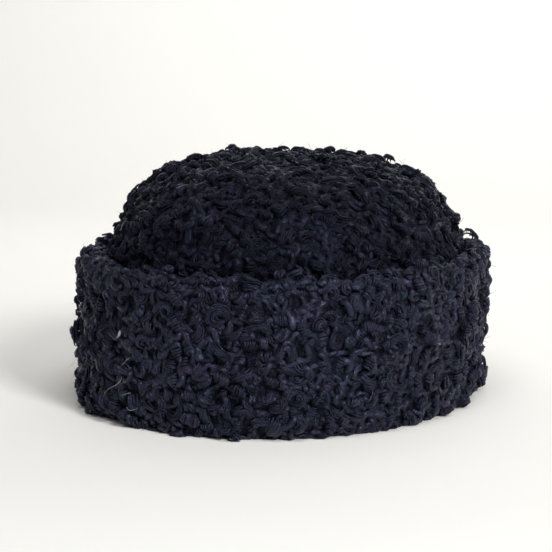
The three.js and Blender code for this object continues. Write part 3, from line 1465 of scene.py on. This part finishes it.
@dataclass
class Cuff(CurledPiece):
    """The turned-up cuff, furred outside and over its top, down to the edge of the flat hem.

    Attributes:
        pile_fade: As for every piece. The cuff's top is rounder, so it fades over more height.
        wall_width: No pile grows further in from the outer wall than this, in metres.
        wall_fade: From how far beyond that to how far short of it the skin sinks, in metres.
        hem_edge: The hem counts as flat below this height, in metres.
        hem_width: How far in from the outer wall locks have their roots under the hem, in metres.
        lip_edge: The lip under the crown's rim lies further in from the outer wall than this, in metres.
        caught: The pale hairs that are caught on it.
        caught_finish: Their finish.
        caught_form: How they are made.
        caught_rise: How far their middles stand out from the CAD surface, in metres.
        caught_dip: How much lower their ends lie, in metres.
    """

    pile_fade: float = 4 * MM
    wall_width: float = 13 * MM
    wall_fade: Range = (1 * MM, 2 * MM)
    hem_edge: float = 0.5 * MM
    hem_width: float = 7.5 * MM
    lip_edge: float = 19 * MM
    caught: tuple[PaleHair, ...] = (
        PaleHair(turns=(-32.0, -31.4, -32.8), heights=(46.5, 44.5, 42.0), width=1.4),
        PaleHair(turns=(-28.2, -29.8, -31.5), heights=(34.5, 31.5, 29.0)),
        PaleHair(turns=(-30.7, -31.8, -35.5, -38.2), heights=(25.0, 21.0, 17.5, 12.0), width=0.4),
        PaleHair(turns=(-27.5, -29.2, -30.8), heights=(18.0, 17.0, 15.5)),
        PaleHair(turns=(-29.2, -27.0, -24.8), heights=(11.5, 10.3, 12.0)),
        PaleHair(turns=(55.0, 55.4, 55.7), heights=(38.9, 38.6, 38.1), width=0.7),
    )
    caught_finish: WoolFinish = PALE_HAIR
    caught_form: StrandForm = StrandForm(steps=14, sides=4, blunt=0.3)
    caught_rise: float = 2.4 * MM
    caught_dip: float = 1.2 * MM

    def half_sizes(self) -> Array:
        """Return half the node's size along each axis, in metres."""
        low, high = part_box(self.node)
        return (np.array(high) - np.array(low)) / 2

    def from_outside(self, places: Array) -> Array:
        """Measure how far in from the cuff's outer wall some places are, near the oval's own shape.

        Args:
            places: One row for each place.

        Returns:
            The distances, in metres.
        """
        half = self.half_sizes()
        share = np.hypot(places[:, 0] / half[0], places[:, 1] / half[1])
        reach = np.linalg.norm(places[:, :2], axis=1)
        return reach / share - reach

    def furred(self, skin: Skin) -> Array:
        """Find the outer wall, down to the flat hem, and the rounded top.

        Args:
            skin: The node's surface.

        Returns:
            True for each face there.
        """
        middles, _ = skin.centres()
        wall = (middles[:, 2] > self.hem_edge) & (self.from_outside(middles) < self.wall_width)
        return wall | (middles[:, 2] > self.pile_end)

    def bare(self, skin: Skin) -> Array:
        """Return true for the flat hem, and for the lip under the crown's rim."""
        middles, _ = skin.centres()
        return (middles[:, 2] < self.hem_edge) | (self.from_outside(middles) > self.lip_edge)

    def bordering(self, skin: Skin) -> Array:
        """Return true for the flat hem, whose outer edge the pile covers."""
        middles, _ = skin.centres()
        return middles[:, 2] < self.hem_edge

    def rooted(self, places: Array) -> Array:
        """Return true off the hem, and on the outer part of it."""
        return (places[:, 2] > self.hem_edge) | (self.from_outside(places) < self.hem_width)

    def sunk(self, skin: Skin) -> Array:
        """Sink the outer wall, down to the hem's outer edge, and the top.

        Args:
            skin: The node's surface.

        Returns:
            A number from 0 to 1 for each vertex.
        """
        top = ramp(skin.points[:, 2], self.pile_end - self.pile_fade, self.pile_end)
        beyond, short = self.wall_fade
        outer = ramp(self.from_outside(skin.points), self.wall_width + beyond, self.wall_width - short)
        return np.maximum(outer, top)

    def build(self, effects: Effects, seed: int) -> None:
        """Build the skin, its pile and the pale hairs that are caught on it.

        Args:
            effects: The shader groups.
            seed: The seed of the random numbers.
        """
        super().build(effects, seed)
        form = self.caught_form
        lines = np.array([hair.line(self.half_sizes(), form.steps) for hair in self.caught])
        places, outward = Skin.of_node(self.node).nearest(lines)
        dip = self.caught_dip * np.abs(np.linspace(-1.0, 1.0, form.steps)) ** 3
        places = places + outward * (self.caught_rise - dip[:, None])
        halves = np.array([hair.width * MM / 2 for hair in self.caught])
        rng = np.random.default_rng(seed)
        strands = Strands.tubes(places, outward, halves, np.ones(len(halves)), form, rng)
        self.keep(strands.piece(f"{self.node}_pale_hairs", self.caught_finish.material(effects)))


# The studio


@dataclass(frozen=True)
class Lamp:
    """A square soft light.

    Attributes:
        name: The light's name.
        place: Where it stands, in metres.
        target: What it faces.
        size: The length of its side, in metres.
        watts: Its power.
        colour: Its colour, linear.
    """

    name: str
    place: tuple[float, float, float]
    target: tuple[float, float, float]
    size: float
    watts: float
    colour: Colour

    def build(self) -> None:
        """Add the light to the scene."""
        lamp = bpy.data.lights.new(self.name, "AREA")
        lamp.size = self.size
        lamp.energy = self.watts
        lamp.color = self.colour
        holder = placed(self.name, lamp)
        holder.location = self.place
        facing = Vector(self.target) - Vector(self.place)
        holder.rotation_euler = facing.to_track_quat("-Z", "Y").to_euler()


@dataclass
class Studio:
    """A pale floor that curves up into a backdrop, soft lights, and a camera as the photograph has it.

    Lengths are in metres.

    Attributes:
        distance: From the hat's middle to the camera, level.
        azimuth: How far the camera stands to the hat's left of its front, in degrees.
        height: Of the camera above the floor.
        focal_pixels: The focal length in the photograph's pixels.
        aim_height: Where the camera's axis passes the hat's middle.
        aim_left: How far to the left of the hat's middle the axis passes.
        sensor: The width of the camera's sensor, in millimetres.
        horizon: The colour of the light that comes from near the horizon, linear.
        zenith: The colour of the light that comes from above, linear.
        rises: Between these shares of the way up, the first colour turns into the second.
        floor_front: How far the floor reaches in front of the hat.
        floor_back: How far it reaches behind, to where it starts to bend up.
        sweep_radius: Of the bend.
        sweep_points: How many points the bend has in section.
        sweep_height: How high the backdrop is.
        half_width: Half the width of the floor and the backdrop.
        lamps: The lights.
        finish: The finish of the floor and the backdrop.
    """

    distance: float = 0.9
    azimuth: float = 11.0
    height: float = 0.185
    focal_pixels: float = 1768.0
    aim_height: float = 0.0583
    aim_left: float = 0.0037
    sensor: float = 36.0
    horizon: Colour = (0.42, 0.42, 0.41)
    zenith: Colour = (0.09, 0.09, 0.095)
    rises: Range = (0.05, 0.4)
    floor_front: float = 2.5
    floor_back: float = 0.9
    sweep_radius: float = 0.5
    sweep_points: int = 17
    sweep_height: float = 2.2
    half_width: float = 4.0
    lamps: tuple[Lamp, ...] = (
        Lamp("key", (1.1, -1.25, 1.0), (0.0, 0.0, 0.05), 0.42, watts=29.0, colour=(1.0, 0.995, 0.98)),
        Lamp("wall_light", (0.0, 0.45, 1.3), (0.0, 1.5, 0.75), 1.4, watts=12.0, colour=(1.0, 0.99, 0.96)),
        Lamp("floor_light", (0.1, -0.9, 1.5), (0.0, -0.45, 0.0), 1.2, watts=12.0, colour=(1.0, 1.0, 0.99)),
    )
    finish: StudioFinish = StudioFinish()

    def build(self, effects: Effects) -> None:
        """Build the backdrop, the lights and the camera.

        Args:
            effects: The shader groups.
        """
        self.backdrop(self.finish.material(effects))
        for lamp in self.lamps:
            lamp.build()
        self.sky()
        self.camera()
        bpy.context.scene.view_settings.view_transform = "Standard"

    def backdrop(self, material: bpy.types.Material) -> None:
        """Make the floor and the wall behind it as one sheet with a round bend.

        Args:
            material: Its material.
        """
        bend = np.linspace(0.0, math.pi / 2, self.sweep_points)
        y = np.concatenate([[-self.floor_front], self.floor_back + self.sweep_radius * np.sin(bend)])
        z = np.concatenate([[0.0], self.sweep_radius * (1 - np.cos(bend))])
        y = np.append(y, y[-1])
        z = np.append(z, self.sweep_height)
        rows = len(y)
        points = [(x, y[n], z[n]) for n in range(rows) for x in (-self.half_width, self.half_width)]
        faces = [(2 * n, 2 * n + 1, 2 * n + 3, 2 * n + 2) for n in range(rows - 1)]
        mesh = bpy.data.meshes.new("floor")
        mesh.from_pydata(points, [], faces)
        mesh.polygons.foreach_set("use_smooth", np.ones(len(faces), dtype=bool))
        mesh.materials.append(material)
        floor = placed("floor", mesh)

    def sky(self) -> None:
        """Light the scene from all round, most from near the horizon."""
        world = bpy.data.worlds.new("studio")
        world.use_nodes = True
        nodes = Nodes(world.node_tree)
        out = nodes.add("ShaderNodeOutputWorld")
        background = nodes.add("ShaderNodeBackground", Strength=1.0)
        nodes.link(background.outputs[0], out.inputs[0])
        way = nodes.add("ShaderNodeTexCoord")
        split = nodes.add("ShaderNodeSeparateXYZ")
        nodes.link(way.outputs["Generated"], split.inputs[0])
        low, high = self.rises
        rise = nodes.add("ShaderNodeMapRange", interpolation_type="SMOOTHSTEP", From_Min=low, From_Max=high)
        nodes.link(split.outputs["Z"], rise.inputs[0])
        nodes.link(nodes.blend(rise.outputs[0], self.horizon, self.zenith), background.inputs["Color"])
        bpy.context.scene.world = world

    def camera(self) -> None:
        """Stand the camera where the photograph was taken from."""
        lens = bpy.data.cameras.new("camera")
        lens.sensor_width = self.sensor
        lens.lens = self.focal_pixels * self.sensor / PHOTO_PIXELS
        lens.clip_start = 0.05
        lens.clip_end = 20.0
        camera = placed("camera", lens)
        turn = math.radians(self.azimuth)
        right = Vector((math.cos(turn), math.sin(turn), 0.0))
        camera.location = (self.distance * math.sin(turn), -self.distance * math.cos(turn), self.height)
        aim = Vector((0.0, 0.0, self.aim_height)) - right * self.aim_left
        camera.rotation_euler = (aim - camera.location).to_track_quat("-Z", "Y").to_euler()
        bpy.context.scene.camera = camera


def main() -> None:
    """Build the studio and the hat."""
    logging.basicConfig(level=logging.INFO, format="%(name)s: %(message)s")
    effects = Effects()
    Studio().build(effects)
    crown = Crown(node="crown", slot="crown_pelt", fill=0.5, wool=SHADED_CROWN_WOOL)
    cuff = Cuff(node="cuff", slot="cuff_pelt", fill=0.7, wool=CUFF_WOOL)
    for number, part in enumerate((crown, cuff)):
        part.build(effects, SEED + number)
        for piece in part.pieces:
            triangles = sum(len(face.vertices) - 2 for face in piece.data.polygons)
            log.info("%s: %d triangles", piece.name, triangles)


if __name__ == "__main__":
    main()
